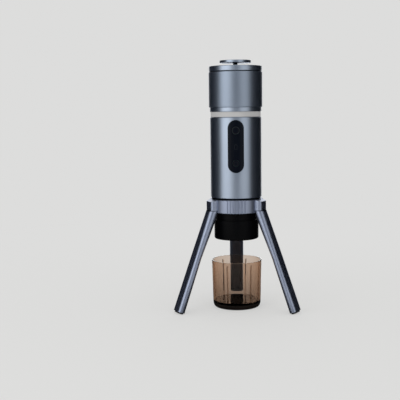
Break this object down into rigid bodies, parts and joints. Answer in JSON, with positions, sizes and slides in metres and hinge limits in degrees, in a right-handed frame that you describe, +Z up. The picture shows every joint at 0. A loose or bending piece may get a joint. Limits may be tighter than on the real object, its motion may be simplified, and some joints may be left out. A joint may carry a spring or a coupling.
{
  "type": "portable espresso machine",
  "caption": "Slim cylindrical battery espresso machine with tank, lid, pill-shaped control panel and screw-on coffee holder, standing on a folding tripod over a tinted cup.",
  "frame": {"origin": "on the table, under the machine's vertical axis", "axes": "+Z up along the machine's axis, -Y towards the front with the control panel, +X to its right"},
  "size_m": [0.1706, 0.1491, 0.3376],
  "materials": {
    "slate_aluminium": "blue-grey satin anodised",
    "black_gloss": "polished black",
    "black_plastic": "fine satin black",
    "frosted_plastic": "frosted",
    "amber_tint": "clear brown tint",
    "dark_tint": "dark brown-black",
    "black_rubber": "matt",
    "steel": "plain steel",
    "board_green": "solder mask",
    "cell_wrap": "shrink wrap",
    "silicone": "milky silicone"
  },
  "bodies": {
    "machine": {"body_tube": "slate_aluminium", "tank_sleeve": "slate_aluminium", "tank_ring": "slate_aluminium", "tripod_collar": "slate_aluminium", "panel": "black_gloss", "base_plate": "black_plastic", "mid_deck": "black_plastic", "tank_rim": "black_plastic", "cell_carrier": "black_plastic", "brew_head": "black_plastic", "pump_housing": "black_plastic", "pump_cover": "black_plastic", "button_switches": "black_plastic", "frosted_ring": "frosted_plastic", "brew_gasket": "black_rubber", "tank_liner": "steel", "shower_plate": "steel", "hinge_pins": "steel", "base_screws": "steel", "heater_plate": "steel", "usb_socket": "steel", "pump_motor": "steel", "control_board": "board_green", "charge_board": "board_green", "battery_cell_left": "cell_wrap", "battery_cell_back": "cell_wrap", "battery_cell_right": "cell_wrap", "inlet_tube": "silicone", "delivery_tube": "silicone"},
    "lid": {"lid_cap": "slate_aluminium", "lid_plug": "black_plastic", "lid_seal": "black_rubber"},
    "vent_knob": {"knob_disc": "slate_aluminium", "knob_stem": "black_plastic"},
    "power_button": {"power_button": "black_gloss"},
    "brew_button": {"brew_button": "black_gloss"},
    "pump_drive": {"drive_gear": "steel"},
    "pump_idler": {"idler_gear": "steel"},
    "coffee_holder": {"holder_body": "black_plastic", "coffee_basket": "steel", "outlet_nozzle": "black_plastic"},
    "cup": {"cup_body": "amber_tint", "cup_base": "dark_tint"},
    "leg_left": {"leg_left": "slate_aluminium", "foot_left": "black_rubber", "bumper_left": "black_rubber"},
    "leg_right": {"leg_right": "slate_aluminium", "foot_right": "black_rubber", "bumper_right": "black_rubber"},
    "leg_back": {"leg_back": "slate_aluminium", "foot_back": "black_rubber", "bumper_back": "black_rubber"}
  },
  "joints": [
    {"name": "lid_twist", "type": "hinge", "parent": "machine", "child": "lid", "pos_m": [0, 0, 0.32288], "axis": [0, 0, 1], "range_deg": [0, 90]},
    {"name": "vent_knob_push", "type": "slide", "parent": "lid", "child": "vent_knob", "axis": [0, 0, 1], "range_m": [-0.0025, 0]},
    {"name": "power_press", "type": "slide", "parent": "machine", "child": "power_button", "axis": [0, 1, 0], "range_m": [0, 0.0006], "stiffness_N_per_m": 500},
    {"name": "brew_press", "type": "slide", "parent": "machine", "child": "brew_button", "axis": [0, 1, 0], "range_m": [0, 0.0006], "stiffness_N_per_m": 500},
    {"name": "pump_drive_spin", "type": "hinge", "parent": "machine", "child": "pump_drive", "pos_m": [0, -0.009, 0.16598], "axis": [0, 0, 1], "continuous": true},
    {"name": "pump_idler_spin", "type": "hinge", "parent": "machine", "child": "pump_idler", "pos_m": [0, 0.001, 0.16598], "axis": [0, 0, 1], "continuous": true},
    {"name": "holder_twist", "type": "hinge", "parent": "machine", "child": "coffee_holder", "pos_m": [0, 0, 0.11688], "axis": [0, 0, 1], "range_deg": [-90, 0]},
    {"name": "cup_slide", "type": "slide", "parent": "machine", "child": "cup", "axis": [0, -1, 0], "range_m": [0, 0.12]},
    {"name": "leg_left_fold", "type": "hinge", "parent": "machine", "child": "leg_left", "pos_m": [-0.03256, -0.0188, 0.14138], "axis": [-0.5, 0.866, 0], "range_deg": [-12, 0]},
    {"name": "leg_right_fold", "type": "hinge", "parent": "machine", "child": "leg_right", "pos_m": [0.03256, -0.0188, 0.14138], "axis": [-0.5, -0.866, 0], "range_deg": [-12, 0]},
    {"name": "leg_back_fold", "type": "hinge", "parent": "machine", "child": "leg_back", "pos_m": [0, 0.0376, 0.14138], "axis": [1, 0, 0], "range_deg": [-12, 0]}
  ],
  "couplings": [
    {"joint": "pump_idler_spin", "follows": "pump_drive_spin", "ratio": -1}
  ]
}
